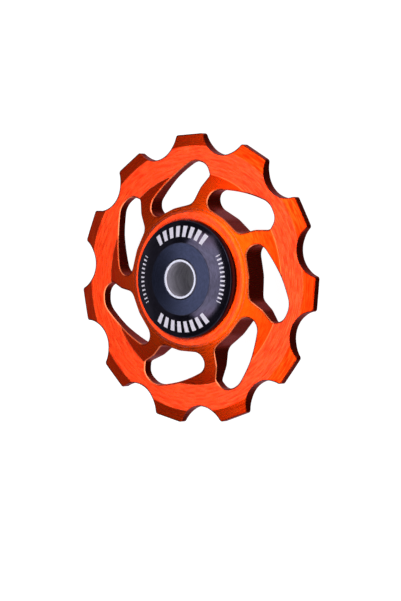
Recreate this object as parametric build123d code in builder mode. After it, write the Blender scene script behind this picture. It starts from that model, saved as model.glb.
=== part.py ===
from build123d import *
import math
import os

# A derailleur jockey wheel: an eleven-tooth toothed wheel turned and cut from
# aluminium bar, a ball bearing pressed in its hub, an axle sleeve through the
# bearing, and a dished cover over the bearing on each side.
#
# Millimetres. The wheel's axis is +Z, the side that is seen faces +Z, and the
# origin is on the axis halfway through the rim. The wheel lies flat on the end
# of its lower axle sleeve.

# ---------------------------------------------------------------- dimensions
# teeth
TEETH = 11
CHAIN_PITCH = 12.7                   # half-inch bicycle chain
PITCH_R = CHAIN_PITCH / (2.0 * math.sin(math.pi / TEETH))   # 22.54
SEAT_R = 3.93                        # valley arc, centred on the pitch circle
TIP_R = 21.15                        # axis to the middle of a flat tooth tip
TIP_CORNER_R = 0.42                  # rounding of a tooth's two tip corners
TOOTH_ANGLE = 91.9                   # direction of the top tooth, degrees
BEVEL_R = 19.42                      # where the side bevel of the teeth starts
TIP_HALF = 0.52                      # half the thickness at the tip

# rim, spokes and hub of the wheel, half sections
RIM_HALF = 0.82                      # flat rim, 1.64 thick
SPOKE_FOOT_R = 15.52                 # the spokes' cone meets the flat rim here
SPOKE_TOP_R = 10.32                  # and reaches the hub here
SPOKE_TOP_HALF = 2.03
HUB_R = 10.00                        # outer edge of the hub's flat face
HUB_HALF = 2.20                      # hub is 4.4 wide
HUB_STEP_R = 10.22                   # end of the hub's sloped outer edge
HUB_STEP_HALF = 2.13
RECESS_R = 8.50                      # recess for the cover's skirt
RECESS_HALF = 1.30                   # half height of the recess floor
SEAT_RING_R = 6.90                   # ring that holds the bearing
BREAK = 0.08                         # broken sharp edges
WINDOW_BREAK = 0.11                  # chamfer round both ends of each window

# seven windows through the web, one outline turned seven times
WINDOWS = 7
WINDOW_ANGLE = 48.0                  # direction of the first window's own +Y
WINDOW_PTS = [                       # corners in the window's own frame
    (-5.66, 9.60), (-5.47, 12.41), (-1.76, 15.42), (2.92, 17.16), (5.23, 16.07),
    (5.50, 14.28), (3.84, 12.84), (2.38, 10.68), (-1.00, 10.63),
]
WINDOW_RADII = [1.55, 1.95, 21.5, 2.70, 1.75, 0.54, 2.20, 1.50, 3.20]

# bearing, 6 x 12 x 4
BRG_BORE_R = 3.0
BRG_OUT_R = 6.0
BRG_HALF = 2.0
BALLS = 9
BALL_R = 0.794                       # one sixteenth of an inch across
BALL_PITCH_R = 4.5
RACE_GAP = 0.04                      # running gap of a ball in its race
INNER_LAND_R = 3.90
OUTER_LAND_R = 5.10
SEAL_SEAT_R = 5.36
SEAL_IN = 1.45                       # inner and outer face of a seal
SEAL_OUT = 1.80
SEAL_LIP_R = 3.98
CAGE_IN_R = 4.20
CAGE_OUT_R = 4.80
CAGE_LOW = -1.20
CAGE_HIGH = 0.45
POCKET_R = 0.87

# axle sleeve
SLEEVE_R = 3.0
BORE_R = 2.5                         # takes the 5 mm pulley bolt
SLEEVE_HALF = 4.20
SLEEVE_BREAK = 0.05                  # inner edges of its ends
SLEEVE_CHAMFER = 0.13                # outer edges of its ends

# covers
BOSS_R = 5.27                        # flat boss round the sleeve
BOSS_Z = 4.15
BOSS_FALL = 0.03                     # boss falls this much to its outer edge
BOSS_STEP = 0.09                     # dish starts this much below the boss
SINK_R = 3.04                        # broken edge of the cover's bore
SHOULDER_R = 0.25                    # rounded outer shoulder
SHOULDER_TILT = 17.0                 # slope of the dish where it meets it
COVER_R = 8.58                       # lip that covers the gap round the skirt
COVER_WALL_Z = 3.12                  # top of the lip's straight outer wall
LIP_Z = 2.28                         # underside of the lip, clear of the hub
SKIRT_R = 8.38                       # skirt, clear of the recess wall
SKIRT_Z = 1.62                       # lower end of the skirt in the recess
SKIRT_IN_R = 7.50
UNDER_Z = 2.32                       # underside over the bearing
SPIGOT_R = 3.86                      # spigot that bears on the inner ring

os.makedirs("parts", exist_ok=True)


def half_turn_angle(step_count):
    """Half of one pitch of a ring of step_count things, in degrees."""
    return 180.0 / step_count


# ------------------------------------------------------------- toothed wheel
with BuildPart() as pulley_wheel:
    # body of revolution: hub, dished web, flat rim and the bevel of the teeth
    bevel_slope = (RIM_HALF - TIP_HALF) / (TIP_R - BEVEL_R)
    outer_r = PITCH_R
    outer_half = RIM_HALF - bevel_slope * (outer_r - BEVEL_R)
    upper = [
        (BRG_OUT_R, BRG_HALF - 0.20),
        (BRG_OUT_R + 0.20, BRG_HALF),
        (SEAT_RING_R - BREAK, BRG_HALF),
        (SEAT_RING_R, BRG_HALF - BREAK),
        (SEAT_RING_R, RECESS_HALF),
        (RECESS_R, RECESS_HALF),
        (RECESS_R, HUB_HALF - BREAK),
        (RECESS_R + BREAK, HUB_HALF),
        (HUB_R, HUB_HALF),
        (HUB_STEP_R, HUB_STEP_HALF),
        (SPOKE_TOP_R, SPOKE_TOP_HALF),
        (SPOKE_FOOT_R, RIM_HALF),
        (BEVEL_R, RIM_HALF),
        (outer_r, outer_half),
    ]
    lower = [(r, -z) for r, z in reversed(upper)]
    with BuildSketch(Plane.XZ) as wheel_section:
        with BuildLine() as wheel_profile:
            Polyline(*(upper + lower), close=True)
        make_face()
    revolve(axis=Axis.Z)

    # tooth outline: flat tips joined by valley arcs on the pitch circle
    with BuildSketch(Plane.XY.offset(-HUB_HALF - 1.0)) as tooth_outline:
        RegularPolygon(
            TIP_R,
            TEETH,
            major_radius=False,
            rotation=TOOTH_ANGLE + half_turn_angle(TEETH),
        )
        with PolarLocations(PITCH_R, TEETH, TOOTH_ANGLE + half_turn_angle(TEETH)):
            Circle(SEAT_R, mode=Mode.SUBTRACT)
        fillet(tooth_outline.vertices(), TIP_CORNER_R)
    extrude(amount=2.0 * (HUB_HALF + 1.0), mode=Mode.INTERSECT)

    # seven windows, cut straight through
    with BuildSketch(Plane.XY.offset(-HUB_HALF - 1.0), mode=Mode.PRIVATE) as one_window:
        with BuildLine() as window_line:
            FilletPolyline(*WINDOW_PTS, radius=WINDOW_RADII, close=True)
        make_face()
    with BuildSketch(Plane.XY.offset(-HUB_HALF - 1.0)) as windows:
        with PolarLocations(0.0, WINDOWS, WINDOW_ANGLE - 90.0):
            add(one_window.sketch_local)
    extrude(amount=2.0 * (HUB_HALF + 1.0), mode=Mode.SUBTRACT)

    # the windows' edges on both faces, without the circles round the axis
    window_edges = [
        edge
        for edge in pulley_wheel.edges(Select.LAST)
        if abs(edge.center().Z) > 0.6
        and not (
            edge.geom_type == GeomType.CIRCLE
            and math.hypot(edge.arc_center.X, edge.arc_center.Y) < 0.01
        )
    ]
    chamfer(window_edges, length=WINDOW_BREAK)

pulley_wheel.part.label = "pulley_wheel"
export_step(pulley_wheel.part, "parts/pulley_wheel.step")

# ------------------------------------------------------------------- bearing
RACE_R = BALL_R + RACE_GAP

with BuildPart() as bearing_outer_ring:
    with BuildSketch(Plane.XZ) as outer_ring_section:
        with BuildLine() as outer_ring_profile:
            Polyline(
                (OUTER_LAND_R, -SEAL_IN),
                (OUTER_LAND_R, SEAL_IN),
                (SEAL_SEAT_R, SEAL_IN),
                (SEAL_SEAT_R, BRG_HALF),
                (BRG_OUT_R - 0.2, BRG_HALF),
                (BRG_OUT_R, BRG_HALF - 0.2),
                (BRG_OUT_R, -BRG_HALF + 0.2),
                (BRG_OUT_R - 0.2, -BRG_HALF),
                (SEAL_SEAT_R, -BRG_HALF),
                (SEAL_SEAT_R, -SEAL_IN),
                close=True,
            )
        make_face()
        with Locations((BALL_PITCH_R, 0.0)):
            Circle(RACE_R, mode=Mode.SUBTRACT)
    revolve(axis=Axis.Z)
bearing_outer_ring.part.label = "bearing_outer_ring"
export_step(bearing_outer_ring.part, "parts/bearing_outer_ring.step")

with BuildPart() as bearing_inner_ring:
    with BuildSketch(Plane.XZ) as inner_ring_section:
        with BuildLine() as inner_ring_profile:
            Polyline(
                (BRG_BORE_R, -BRG_HALF + 0.15),
                (BRG_BORE_R, BRG_HALF - 0.15),
                (BRG_BORE_R + 0.15, BRG_HALF),
                (INNER_LAND_R, BRG_HALF),
                (INNER_LAND_R, -BRG_HALF),
                (BRG_BORE_R + 0.15, -BRG_HALF),
                close=True,
            )
        make_face()
        with Locations((BALL_PITCH_R, 0.0)):
            Circle(RACE_R, mode=Mode.SUBTRACT)
    revolve(axis=Axis.Z)
bearing_inner_ring.part.label = "bearing_inner_ring"
export_step(bearing_inner_ring.part, "parts/bearing_inner_ring.step")

# crown cage: a ring whose pockets open upwards and snap over the balls
with BuildPart() as bearing_cage:
    with BuildSketch(Plane.XY.offset(CAGE_LOW)) as cage_ring:
        Circle(CAGE_OUT_R)
        Circle(CAGE_IN_R, mode=Mode.SUBTRACT)
    extrude(amount=CAGE_HIGH - CAGE_LOW)
    with PolarLocations(BALL_PITCH_R, BALLS):
        Cylinder(
            radius=POCKET_R,
            height=2.0,
            rotation=(0, 90, 0),
            mode=Mode.SUBTRACT,
        )
bearing_cage.part.label = "bearing_cage"
export_step(bearing_cage.part, "parts/bearing_cage.step")

# nine balls on the pitch circle, each a piece of its own
for number in range(1, BALLS + 1):
    direction = math.radians((number - 1) * 360.0 / BALLS)
    with BuildPart() as ball:
        with Locations(
            (BALL_PITCH_R * math.cos(direction), BALL_PITCH_R * math.sin(direction), 0)
        ):
            Sphere(BALL_R)
    ball.part.label = f"ball_{number}"
    export_step(ball.part, f"parts/ball_{number}.step")

# flat seals in the outer ring's seats, clear of the inner ring
with BuildPart() as bearing_seal_front:
    with BuildSketch(Plane.XY.offset(SEAL_IN)) as seal_ring:
        Circle(SEAL_SEAT_R)
        Circle(SEAL_LIP_R, mode=Mode.SUBTRACT)
    extrude(amount=SEAL_OUT - SEAL_IN)
bearing_seal_front.part.label = "bearing_seal_front"
export_step(bearing_seal_front.part, "parts/bearing_seal_front.step")

with BuildPart() as bearing_seal_back:
    mirror(bearing_seal_front.part, about=Plane.XY)
bearing_seal_back.part.label = "bearing_seal_back"
export_step(bearing_seal_back.part, "parts/bearing_seal_back.step")

# --------------------------------------------------------------- axle sleeve
with BuildPart() as axle_sleeve:
    with BuildSketch(Plane.XY.offset(-SLEEVE_HALF)) as sleeve_ring:
        Circle(SLEEVE_R)
        Circle(BORE_R, mode=Mode.SUBTRACT)
    extrude(amount=2.0 * SLEEVE_HALF)
    end_circles = axle_sleeve.edges().filter_by(GeomType.CIRCLE)
    outer_circles = [edge for edge in end_circles if edge.radius > SLEEVE_R - 0.01]
    inner_circles = [edge for edge in end_circles if edge.radius < BORE_R + 0.01]
    chamfer(outer_circles, length=SLEEVE_CHAMFER)
    chamfer(inner_circles, length=SLEEVE_BREAK)
axle_sleeve.part.label = "axle_sleeve"
export_step(axle_sleeve.part, "parts/axle_sleeve.step")

# -------------------------------------------------------------------- covers
with BuildPart() as front_cover:
    tilt = math.radians(SHOULDER_TILT)
    shoulder_c = (COVER_R - SHOULDER_R, COVER_WALL_Z)
    shoulder_in = (
        shoulder_c[0] + SHOULDER_R * math.sin(tilt),
        shoulder_c[1] + SHOULDER_R * math.cos(tilt),
    )
    dish_in = (BOSS_R + 0.04, BOSS_Z - BOSS_STEP)
    with BuildSketch(Plane.XZ) as cover_section:
        with BuildLine() as cover_profile:
            under = Polyline(
                (COVER_R, COVER_WALL_Z),
                (COVER_R, LIP_Z + BREAK / 2),
                (COVER_R - BREAK / 2, LIP_Z),
                (SKIRT_R, LIP_Z),
                (SKIRT_R, SKIRT_Z + BREAK),
                (SKIRT_R - BREAK, SKIRT_Z),
                (SKIRT_IN_R, SKIRT_Z),
                (SKIRT_IN_R, UNDER_Z),
                (SPIGOT_R, UNDER_Z),
                (SPIGOT_R, BRG_HALF),
                (SLEEVE_R, BRG_HALF),
                (SLEEVE_R, BOSS_Z - (SINK_R - SLEEVE_R)),
                (SINK_R, BOSS_Z),
                (BOSS_R - 0.03, BOSS_Z - BOSS_FALL),
                dish_in,
            )
            shoulder = TangentArc(
                (COVER_R, COVER_WALL_Z), shoulder_in, tangent=(0, 1)
            )
            dish = TangentArc(
                shoulder_in, dish_in, tangent=(-math.cos(tilt), math.sin(tilt))
            )
        make_face()
    revolve(axis=Axis.Z)
front_cover.part.label = "front_cover"
export_step(front_cover.part, "parts/front_cover.step")

with BuildPart() as back_cover:
    mirror(front_cover.part, about=Plane.XY)
back_cover.part.label = "back_cover"
export_step(back_cover.part, "parts/back_cover.step")

outside_r = max(
    math.hypot(vertex.X, vertex.Y) for vertex in pulley_wheel.vertices()
)
print("pitch radius", round(PITCH_R, 3), "outside diameter", round(2 * outside_r, 2))
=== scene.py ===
import bpy
import math
from mathutils import Matrix, Vector


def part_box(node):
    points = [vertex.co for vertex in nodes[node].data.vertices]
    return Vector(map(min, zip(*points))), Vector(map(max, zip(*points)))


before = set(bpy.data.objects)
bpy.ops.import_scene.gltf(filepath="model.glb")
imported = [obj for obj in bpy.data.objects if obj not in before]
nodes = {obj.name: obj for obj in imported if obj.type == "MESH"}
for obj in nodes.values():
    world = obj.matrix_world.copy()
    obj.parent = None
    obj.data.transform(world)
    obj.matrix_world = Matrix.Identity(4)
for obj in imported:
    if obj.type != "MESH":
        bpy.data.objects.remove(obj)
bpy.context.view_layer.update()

# ------------------------------------------------------------------ camera
# The wheel lies flat on its sleeve's end, and the camera looks down on it from
# the +X side, turned so that the wheel's +Y is up in the picture.
CAM_AT = Vector((0.22443216, 0.00324134, 0.29733239))
CAM_RIGHT = Vector((0.79888362, -0.01300375, -0.60134505))
CAM_DOWN = Vector((0.0, -0.99976627, 0.02161939))
CAM_FORWARD = Vector((-0.60148563, -0.01727137, -0.7986969))
FOCAL_PX = 2546.805
LONG_SIDE_PX = 601

camera_data = bpy.data.cameras.new("camera")
camera_data.sensor_fit = "AUTO"
camera_data.sensor_width = 36.0
camera_data.lens = 36.0 * FOCAL_PX / LONG_SIDE_PX
camera_data.clip_start = 0.01
camera_data.clip_end = 20.0
camera = bpy.data.objects.new("camera", camera_data)
bpy.context.scene.collection.objects.link(camera)
turn = Matrix((CAM_RIGHT, -CAM_DOWN, -CAM_FORWARD)).transposed().to_4x4()
camera.matrix_world = Matrix.Translation(CAM_AT) @ turn
bpy.context.scene.camera = camera

bpy.context.scene.view_settings.view_transform = "Standard"
bpy.context.scene.view_settings.look = "None"


# ------------------------------------------------------------ node helpers
class Tree:
    """Short names for building a node tree."""

    def __init__(self, tree):
        self.tree = tree

    def node(self, kind, **props):
        n = self.tree.nodes.new(kind)
        for k, v in props.items():
            setattr(n, k, v)
        return n

    def put(self, socket, value):
        if isinstance(value, bpy.types.NodeSocket):
            self.tree.links.new(value, socket)
        else:
            socket.default_value = value

    def math(self, op, a, b=None, c=None, clamp=False):
        n = self.node("ShaderNodeMath", operation=op, use_clamp=clamp)
        for i, v in enumerate((a, b, c)):
            if v is not None:
                self.put(n.inputs[i], v)
        return n.outputs[0]

    def vec(self, op, a, b=None, out=0):
        n = self.node("ShaderNodeVectorMath", operation=op)
        self.put(n.inputs[0], a)
        if b is not None:
            self.put(n.inputs[1], b)
        return n.outputs[out]

    def combine(self, x, y, z):
        n = self.node("ShaderNodeCombineXYZ")
        for i, v in enumerate((x, y, z)):
            self.put(n.inputs[i], v)
        return n.outputs[0]

    def noise(self, vector, scale=1.0, detail=2.0, rough=0.5):
        n = self.node("ShaderNodeTexNoise", noise_dimensions="3D")
        self.put(n.inputs["Vector"], vector)
        n.inputs["Scale"].default_value = scale
        n.inputs["Detail"].default_value = detail
        n.inputs["Roughness"].default_value = rough
        return n.outputs[0]

    def ramp(self, value, low, high, out_low=0.0, out_high=1.0, smooth=True):
        n = self.node("ShaderNodeMapRange", clamp=True)
        n.interpolation_type = "SMOOTHSTEP" if smooth else "LINEAR"
        for name, v in (("Value", value), ("From Min", low), ("From Max", high),
                        ("To Min", out_low), ("To Max", out_high)):
            self.put(n.inputs[name], v)
        return n.outputs[0]

    def mix(self, factor, a, b):
        n = self.node("ShaderNodeMix", data_type="RGBA")
        self.put(n.inputs[0], factor)
        for i, v in ((6, a), (7, b)):
            self.put(n.inputs[i], v if isinstance(v, bpy.types.NodeSocket) else (*v, 1.0)[:4])
        return n.outputs[2]

    def mix_value(self, factor, a, b):
        n = self.node("ShaderNodeMix", data_type="FLOAT")
        self.put(n.inputs[0], factor)
        self.put(n.inputs[2], a)
        self.put(n.inputs[3], b)
        return n.outputs[0]


def new_material(name):
    m = bpy.data.materials.new(name)
    m.use_nodes = True
    t = Tree(m.node_tree)
    shader = m.node_tree.nodes["Principled BSDF"]
    return m, t, shader


def wheel_coords(t):
    """Position in millimetres in the wheel's frame, radius, direction and normal."""
    at = t.vec("SCALE", t.node("ShaderNodeTexCoord").outputs["Object"])
    at.node.inputs["Scale"].default_value = 1000.0
    sep = t.node("ShaderNodeSeparateXYZ")
    t.put(sep.inputs[0], at)
    x, y, z = sep.outputs
    r = t.math("SQRT", t.math("ADD", t.math("MULTIPLY", x, x), t.math("MULTIPLY", y, y)))
    cx = t.math("DIVIDE", x, t.math("MAXIMUM", r, 0.01))
    cy = t.math("DIVIDE", y, t.math("MAXIMUM", r, 0.01))
    normal = t.node("ShaderNodeTexCoord").outputs["Normal"]
    nz = t.node("ShaderNodeSeparateXYZ")
    t.put(nz.inputs[0], normal)
    return at, x, y, z, r, cx, cy, nz.outputs[2]


def turned_marks(t, r, cx, cy, z, fine, along, detail=3.0, rough=0.6):
    """Noise drawn out along circles round the axis, as a lathe tool leaves it."""
    v = t.combine(
        t.math("MULTIPLY", cx, along),
        t.math("MULTIPLY", cy, along),
        t.math("MULTIPLY", t.math("ADD", r, z), fine),
    )
    return t.noise(v, 1.0, detail, rough)


def inside_band(t, value, low, high, soft):
    return t.math("MULTIPLY", t.ramp(value, low - soft, low + soft), t.ramp(value, high - soft, high + soft, 1.0, 0.0))


# --------------------------------------------------------------- materials
def orange_aluminium():
    """Dyed aluminium: turned faces with fine rings, milled walls, a recess painted dark as shade, and edges with
    painted highlights and painted shade.
    """
    m, t, s = new_material("anodised_orange")
    at, x, y, z, r, cx, cy, nz = wheel_coords(t)
    up = t.math("ABSOLUTE", nz)
    high = t.math("ABSOLUTE", z)
    turned = t.ramp(up, 0.5, 0.9)
    flat = t.ramp(up, 0.985, 0.998)
    bevelled = t.math("MULTIPLY", t.ramp(up, 0.55, 0.66), t.ramp(up, 0.78, 0.88, 1.0, 0.0))
    edge = t.math("MULTIPLY", bevelled, t.ramp(r, 10.25, 10.32))
    hub = t.math("MULTIPLY", t.ramp(r, 9.60, 9.72, 1.0, 0.0), flat)
    web = t.math("MULTIPLY", t.ramp(r, 15.4, 15.6, 1.0, 0.0), t.ramp(up, 0.5, 0.6))
    # painted shade: mask for the recess round the cover, painted near-black further down
    inside = t.math("MULTIPLY", t.ramp(r, 8.60, 8.66, 1.0, 0.0), t.ramp(high, 2.10, 2.18, 1.0, 0.0))
    fine = turned_marks(t, r, cx, cy, z, 5.5, 9.0)
    streak = turned_marks(t, r, cx, cy, z, 7.0, 9.0, 3.0, 0.6)
    broad = turned_marks(t, r, cx, cy, z, 1.1, 5.0, 2.0, 0.5)
    rings = t.noise(t.combine(0.0, 0.0, t.math("MULTIPLY", r, 3.1)), 1.0, 2.0, 0.6)
    milled = t.noise(t.vec("MULTIPLY", at, (6.0, 6.0, 0.5)), 1.0, 3.0, 0.6)
    speck = t.noise(at, 4.2, 3.0, 0.7)
    cloud = t.noise(at, 0.22, 3.0, 0.55)
    tone = t.mix_value(turned, milled, streak)
    base = t.mix(t.ramp(tone, 0.36, 0.60), (0.64, 0.021, 0.0007), (0.97, 0.066, 0.0037))
    base = t.mix(t.ramp(broad, 0.40, 0.66, 0.0, 0.3), base, (0.90, 0.034, 0.0012))
    base = t.mix(t.ramp(cloud, 0.38, 0.70, 0.0, 0.35), base, (0.99, 0.052, 0.0024))
    base = t.mix(t.ramp(speck, 0.60, 0.78, 0.0, 0.35), base, (0.60, 0.014, 0.0008))
    # painted highlight: the web is painted a little yellower near the hub, for the hot highlight there; it is also
    # redder where it meets the rim
    painted_hub_highlight = t.math("MULTIPLY", t.math("MULTIPLY", web, t.ramp(r, 9.60, 9.72)), t.ramp(r, 10.5, 14.0, 0.8, 0.2))
    base = t.mix(painted_hub_highlight, base, (0.96, 0.076, 0.0012))
    deep = t.math("MULTIPLY", web, t.ramp(r, 13.4, 15.5, 0.0, 0.4))
    base = t.mix(deep, base, (0.88, 0.020, 0.0006))
    # painted shade: the teeth's bevels towards +X are painted redder and darker, for the light falling off there
    painted_teeth_shade = t.math("MULTIPLY", t.math("MULTIPLY", t.ramp(r, 19.3, 19.6), turned), t.ramp(x, 16.5, 20.0, 0.0, 0.45))
    base = t.mix(painted_teeth_shade, base, (0.93, 0.018, 0.0006))
    # painted highlight: the broken edges and the line where the web meets the rim are painted paler, for the thin light
    # lines along them
    line = t.math("MULTIPLY", turned, inside_band(t, r, 15.44, 15.58, 0.03))
    base = t.mix(t.math("MULTIPLY", line, 0.55), base, (1.0, 0.13, 0.030))
    base = t.mix(edge, base, (1.0, 0.21, 0.065))
    base = t.mix(t.math("MULTIPLY", hub, t.ramp(rings, 0.4, 0.6)), base, (0.98, 0.056, 0.0024))
    # painted shade: the recess round the cover is painted near-black, for the shade between the wheel and the cover
    base = t.mix(inside, base, (0.16, 0.005, 0.0012))
    # the faces' edges are slightly rounded in shading, and painted shade darkens them where they don't face +X, for the
    # dark reflection along the far edges
    face = t.math("MULTIPLY", t.ramp(up, 0.9, 0.95), t.ramp(r, 10.45, 10.65))
    rounded = t.node("ShaderNodeBevel", samples=8)
    rounded.inputs["Radius"].default_value = 0.00024
    straight = t.node("ShaderNodeNewGeometry").outputs["Normal"]
    lift = t.vec("SUBTRACT", rounded.outputs[0], straight)
    turned_up = t.vec("SCALE", lift)
    t.put(turned_up.node.inputs["Scale"], face)
    wide = t.node("ShaderNodeBevel", samples=8)
    wide.inputs["Radius"].default_value = 0.00036
    wide_lift = t.vec("SUBTRACT", wide.outputs[0], straight)
    lift_parts = t.node("ShaderNodeSeparateXYZ")
    t.put(lift_parts.inputs[0], wide_lift)
    facing = t.math("MAXIMUM", lift_parts.outputs[0], 0.0)
    amount = t.math("SUBTRACT", t.vec("LENGTH", wide_lift, out=1), t.math("MULTIPLY", facing, 2.0))
    shade = t.math("MULTIPLY", t.ramp(amount, 0.10, 0.24, 0.0, 0.92), face)
    base = t.mix(shade, base, (0.10, 0.006, 0.003))
    t.put(s.inputs["Base Color"], base)
    s.inputs["Metallic"].default_value = 1.0
    rough = t.ramp(tone, 0.3, 0.7, 0.33, 0.23, smooth=False)
    t.put(s.inputs["Roughness"], t.mix_value(inside, rough, 0.6))
    gloss = t.math("MULTIPLY", flat, t.ramp(tone, 0.35, 0.65, 0.06, 0.2))
    t.put(s.inputs["Coat Weight"], t.math("MAXIMUM", gloss, t.math("MULTIPLY", edge, 0.4)))
    s.inputs["Coat Roughness"].default_value = 0.13
    s.inputs["Coat IOR"].default_value = 1.6
    bump = t.node("ShaderNodeBump")
    t.put(bump.inputs["Normal"], t.vec("NORMALIZE", t.vec("ADD", straight, turned_up)))
    bump.inputs["Strength"].default_value = 0.3
    bump.inputs["Distance"].default_value = 0.000014
    cut = t.math("MULTIPLY", t.math("ADD", fine, t.math("MULTIPLY", rings, 0.6)), t.mix_value(flat, 0.15, 2.0))
    t.put(bump.inputs["Height"], t.mix_value(turned, milled, cut))
    # the hub's face rolls off softly towards its recess and its outer edge, and
    # the teeth's bevels a little more towards their tips
    roll = t.math("SUBTRACT", 9.2, t.math("MINIMUM", t.math("MAXIMUM", r, 8.5), 9.2))
    roll = t.math("MULTIPLY", t.math("MULTIPLY", roll, roll), 0.235)
    for low, high_end, slope in ((9.64, 10.00, -0.20), (10.00, 10.22, 0.09), (10.22, 10.32, 0.80), (19.42, 22.0, -0.035)):
        part = t.math("SUBTRACT", t.math("MINIMUM", t.math("MAXIMUM", r, low), high_end), low)
        roll = t.math("ADD", roll, t.math("MULTIPLY", part, slope))
    soft = t.node("ShaderNodeBump")
    soft.inputs["Strength"].default_value = 1.0
    soft.inputs["Distance"].default_value = 0.001
    t.put(soft.inputs["Height"], roll)
    t.put(soft.inputs["Normal"], bump.outputs[0])
    t.put(s.inputs["Normal"], soft.outputs[0])
    return m


def pulses(t, value, period, filled, soft):
    """1 on the filled part of every period of value, 0 between, soft edged."""
    n = t.math("ABSOLUTE", t.math("SUBTRACT", t.math("FRACT", t.math("DIVIDE", value, period)), 0.5))
    return t.ramp(n, filled / 2 - soft, filled / 2 + soft, 1.0, 0.0)


def black_aluminium():
    """Black cover: fine turning marks, a bluer boss, and plain silver tick marks."""
    m, t, s = new_material("anodised_black")
    at, x, y, z, r, cx, cy, nz = wheel_coords(t)
    high = t.math("ABSOLUTE", z)
    fine = turned_marks(t, r, cx, cy, z, 15.0, 4.0)
    streak = turned_marks(t, r, cx, cy, z, 5.0, 7.0, 4.0, 0.65)
    boss = t.math("MULTIPLY", t.ramp(r, 5.22, 5.26, 1.0, 0.0), t.ramp(high, 3.9, 4.0))
    base = t.mix(t.ramp(streak, 0.35, 0.65), (0.020, 0.0195, 0.031), (0.032, 0.031, 0.049))
    base = t.mix(boss, base, t.mix(t.ramp(streak, 0.35, 0.65), (0.017, 0.021, 0.038), (0.025, 0.029, 0.053)))
    # tick marks: bars above and below, small ticks on either side
    turn = t.math("MULTIPLY", t.math("ARCTAN2", y, x), 57.29578)
    around = t.math("ABSOLUTE", turn)
    from_top = t.math("ABSOLUTE", t.math("SUBTRACT", around, 90.0))
    bars = pulses(t, turn, 10.0, 0.56, 0.02)
    bars = t.math("MULTIPLY", bars, inside_band(t, r, 6.15, 7.75, 0.03))
    bars = t.math("MULTIPLY", bars, t.ramp(from_top, 39.8, 40.2, 1.0, 0.0))
    ticks = pulses(t, turn, 5.0, 0.36, 0.04)
    ticks = t.math("MULTIPLY", ticks, inside_band(t, r, 6.95, 7.62, 0.03))
    ticks = t.math("MULTIPLY", ticks, t.ramp(from_top, 62.3, 62.7))
    marks = t.math("MULTIPLY", t.math("MAXIMUM", bars, ticks), t.ramp(high, 3.3, 3.4))
    worn = t.ramp(t.noise(at, 7.0, 3.0, 0.6), 0.2, 0.5, 0.72, 1.0)
    marks = t.math("MULTIPLY", marks, worn)
    t.put(s.inputs["Base Color"], t.mix(marks, base, (0.88, 0.89, 0.95)))
    t.put(s.inputs["Metallic"], t.math("SUBTRACT", 0.82, t.math("MULTIPLY", marks, 0.82)))
    s.inputs["IOR"].default_value = 1.4
    rough = t.ramp(streak, 0.3, 0.7, 0.11, 0.07, smooth=False)
    t.put(s.inputs["Roughness"], t.mix_value(marks, rough, 0.5))
    bump = t.node("ShaderNodeBump")
    bump.inputs["Strength"].default_value = 0.18
    bump.inputs["Distance"].default_value = 0.00001
    t.put(bump.inputs["Height"], fine)
    # the boss falls a touch more towards its edge
    fall = t.node("ShaderNodeBump")
    fall.inputs["Strength"].default_value = 1.0
    fall.inputs["Distance"].default_value = 0.001
    t.put(fall.inputs["Height"], t.math("MULTIPLY", t.math("MINIMUM", r, 5.22), -0.009))
    t.put(fall.inputs["Normal"], bump.outputs[0])
    t.put(s.inputs["Normal"], fall.outputs[0])
    return m


def steel(name, low, high, rough_low, rough_high, bore=0.0, rim=9.0):
    """Turned steel, dull inside the radius bore with painted shade deeper in it, and darker outside the radius rim."""
    m, t, s = new_material(name)
    at, x, y, z, r, cx, cy, nz = wheel_coords(t)
    streak = turned_marks(t, r, cx, cy, z, 11.0, 5.0, 3.0, 0.6)
    hole = t.ramp(r, bore - 0.02, bore + 0.03, 1.0, 0.0)
    drawn = t.noise(t.combine(t.math("MULTIPLY", cx, 1.6), t.math("MULTIPLY", cy, 1.6), t.math("MULTIPLY", z, 2.6)), 1.0, 4.0, 0.6)
    tone = t.mix_value(hole, streak, drawn)
    lit = t.ramp(tone, 0.3, 0.7)
    inner = t.vec("SCALE", t.mix(lit, (0.32, 0.31, 0.37), (0.66, 0.65, 0.73)))
    # painted shade: the bore is painted darker towards its middle and lighter towards its mouths, for the light that
    # falls into it
    t.put(inner.node.inputs["Scale"], t.ramp(t.math("ABSOLUTE", z), 1.8, 4.2, 0.62, 1.5))
    outside = t.mix(t.ramp(r, rim - 0.02, rim + 0.02), t.mix(lit, low, high), (0.04, 0.04, 0.05))
    t.put(s.inputs["Base Color"], t.mix(hole, outside, inner))
    t.put(s.inputs["Metallic"], t.mix_value(hole, 1.0, 0.25))
    outer = t.ramp(tone, 0.3, 0.7, rough_high, rough_low, smooth=False)
    t.put(s.inputs["Roughness"], t.mix_value(hole, outer, 0.42))
    bump = t.node("ShaderNodeBump")
    bump.inputs["Strength"].default_value = 0.15
    bump.inputs["Distance"].default_value = 0.000006
    t.put(bump.inputs["Height"], tone)
    t.put(s.inputs["Normal"], bump.outputs[0])
    return m


def plain(name, low, high, rough, scale=1.2, ior=1.5):
    m, t, s = new_material(name)
    at = wheel_coords(t)[0]
    n = t.noise(at, scale, 3.0, 0.55)
    t.put(s.inputs["Base Color"], t.mix(t.ramp(n, 0.3, 0.7), low, high))
    t.put(s.inputs["Roughness"], t.ramp(n, 0.3, 0.7, rough, rough + 0.1, smooth=False))
    s.inputs["IOR"].default_value = ior
    bump = t.node("ShaderNodeBump")
    bump.inputs["Strength"].default_value = 0.15
    bump.inputs["Distance"].default_value = 0.00001
    t.put(bump.inputs["Height"], t.noise(at, 9.0, 2.0, 0.5))
    t.put(s.inputs["Normal"], bump.outputs[0])
    return m


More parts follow.
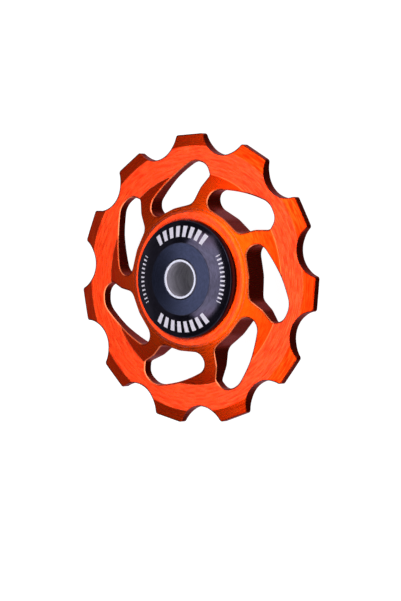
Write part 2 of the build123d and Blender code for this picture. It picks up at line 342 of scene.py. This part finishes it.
orange = orange_aluminium()
black = black_aluminium()
sleeve = steel("sleeve_steel", (0.42, 0.42, 0.43), (0.52, 0.52, 0.53), 0.16, 0.26, 2.5, 2.83)
race = steel("bearing_steel", (0.50, 0.50, 0.52), (0.66, 0.66, 0.68), 0.12, 0.2)
rubber = plain("seal_rubber", (0.018, 0.018, 0.020), (0.032, 0.032, 0.035), 0.55)
nylon = plain("cage_nylon", (0.62, 0.58, 0.46), (0.72, 0.68, 0.55), 0.4)
ceramic = plain("ball_ceramic", (0.80, 0.80, 0.78), (0.88, 0.88, 0.86), 0.08, 0.6, 2.1)

looks = {
    "pulley_wheel": (orange, "wheel_orange"),
    "front_cover": (black, "cover_black"),
    "back_cover": (black, "cover_black"),
    "axle_sleeve": (sleeve, "sleeve_steel"),
    "bearing_inner_ring": (race, "bearing_steel"),
    "bearing_outer_ring": (race, "bearing_steel"),
    "bearing_cage": (nylon, "cage_nylon"),
    "bearing_seal_front": (rubber, "seal_rubber"),
    "bearing_seal_back": (rubber, "seal_rubber"),
}
for i in range(1, 10):
    looks[f"ball_{i}"] = (ceramic, "ball_ceramic")
for name, (material, slot) in looks.items():
    node = nodes[name]
    node.data.materials.clear()
    node.data.materials.append(material)

# ------------------------------------------------------------------- stage
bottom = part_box("axle_sleeve")[0].z
floor_mesh = bpy.data.meshes.new("floor")
half = 2.5
floor_mesh.from_pydata(
    [(-half, -half, bottom), (half, -half, bottom), (half, half, bottom), (-half, half, bottom)],
    [], [(0, 1, 2, 3)],
)
floor = bpy.data.objects.new("floor", floor_mesh)
bpy.context.scene.collection.objects.link(floor)
floor_material, ft, fs = new_material("floor_white")
fs.inputs["Base Color"].default_value = (0.25, 0.25, 0.25, 1.0)
fs.inputs["Roughness"].default_value = 0.9
fs.inputs["Specular IOR Level"].default_value = 0.0
fs.inputs["Emission Color"].default_value = (1.0, 1.0, 1.0, 1.0)
fs.inputs["Emission Strength"].default_value = 0.98
floor_mesh.materials.append(floor_material)
floor.visible_glossy = False

# studio light: soft boxes drawn in the world's directions. "side" is the angle
# from +Z towards +X, "lean" the angle towards +Y.
world = bpy.data.worlds.new("studio")
bpy.context.scene.world = world
world.use_nodes = True
wt = Tree(world.node_tree)
back = world.node_tree.nodes["Background"]
ray = wt.vec("NORMALIZE", wt.node("ShaderNodeTexCoord").outputs["Generated"])
ray_parts = wt.node("ShaderNodeSeparateXYZ")
wt.put(ray_parts.inputs[0], ray)
ray_x, ray_y, ray_z = ray_parts.outputs
side = wt.math("MULTIPLY", wt.math("ARCTAN2", ray_x, ray_z), 57.29578)
lean = wt.math("MULTIPLY", wt.math("ARCSINE", ray_y), 57.29578)
lean_size = wt.math("ABSOLUTE", lean)


def tinted(amount, colour, strength):
    scaled = wt.vec("SCALE", tuple(k * strength for k in colour))
    wt.put(scaled.node.inputs["Scale"], amount)
    return scaled


def product(*values):
    out = values[0]
    for v in values[1:]:
        out = wt.math("MULTIPLY", out, v)
    return out


light = wt.combine(0.012, 0.010, 0.013)
# main soft box: an upright ellipse to the wheel's left, weaker and bluer on its left
across = wt.math("DIVIDE", wt.math("ADD", side, 23.2), 14.8)
along = wt.math("DIVIDE", wt.math("SUBTRACT", lean, 1.2), 21.6)
ellipse = wt.math("ADD", wt.math("MULTIPLY", across, across), wt.math("MULTIPLY", along, along))
key = wt.ramp(ellipse, 0.90, 1.0, 1.0, 0.0)
inner = wt.ramp(side, -36.5, -26.0)
# a soft dip just below the middle, and a redder rim above and below
dip = product(wt.ramp(lean, -14.0, -7.0), wt.ramp(lean, -3.0, 3.0, 1.0, 0.0))
bright = product(key, inner, wt.math("SUBTRACT", 1.0, wt.math("MULTIPLY", dip, 0.2)))
tip = wt.ramp(lean_size, 12.0, 20.0)
light = wt.vec("ADD", light, tinted(product(key, wt.math("SUBTRACT", 1.0, inner)), (0.88, 0.92, 1.13), 2.5))
light = wt.vec("ADD", light, tinted(product(bright, wt.math("SUBTRACT", 1.0, tip)), (1.0, 0.95, 1.05), 4.6))
light = wt.vec("ADD", light, tinted(product(bright, tip), (1.0, 0.76, 0.86), 4.6))
# its left edge fades out
fringe = product(wt.ramp(side, -40.8, -37.6), wt.ramp(side, -37.8, -37.0, 1.0, 0.0), wt.ramp(lean_size, 6.0, 14.0, 1.0, 0.0))
light = wt.vec("ADD", light, tinted(fringe, (0.88, 0.92, 1.13), 1.5))
# dim wall far left
wall = product(wt.ramp(side, -46.0, -40.0, 1.0, 0.0), wt.ramp(side, -86.0, -72.0))
near = product(wt.ramp(side, -65.0, -58.0, 0.29, 0.155), wt.ramp(lean_size, 8.0, 20.0, 1.0, 0.75))
light = wt.vec("ADD", light, tinted(product(wall, near), (1.0, 0.92, 1.0), 1.15))
# arched strip on the right, for the thin light lines along the edges
arch = wt.math("SUBTRACT", 53.0, wt.math("MULTIPLY", wt.math("MULTIPLY", lean, lean), 0.0058))
off = wt.math("ABSOLUTE", wt.math("SUBTRACT", side, arch))
strip = product(wt.ramp(off, 8.0, 14.0, 1.0, 0.0), wt.ramp(lean_size, 58.0, 70.0, 1.0, 0.0))
light = wt.vec("ADD", light, tinted(strip, (1.0, 0.94, 1.0), 2.4))
# soft fill from beyond the wheel's top and bottom
fill = product(wt.ramp(lean_size, 44.0, 56.0), wt.ramp(ray_z, -0.05, 0.05))
light = wt.vec("ADD", light, tinted(fill, (1.0, 0.95, 1.0), 0.7))
# grey from below, brighter on the left
below = product(wt.ramp(ray_z, -0.1, 0.1, 1.0, 0.0), wt.ramp(ray_x, -0.7, 0.6, 0.22, 0.014))
light = wt.vec("ADD", light, tinted(below, (1.0, 0.9, 1.15), 1.0))
seen = wt.node("ShaderNodeLightPath").outputs["Is Camera Ray"]
wt.put(back.inputs["Color"], wt.mix(seen, light, (1.0, 1.0, 1.0)))
back.inputs["Strength"].default_value = 1.0
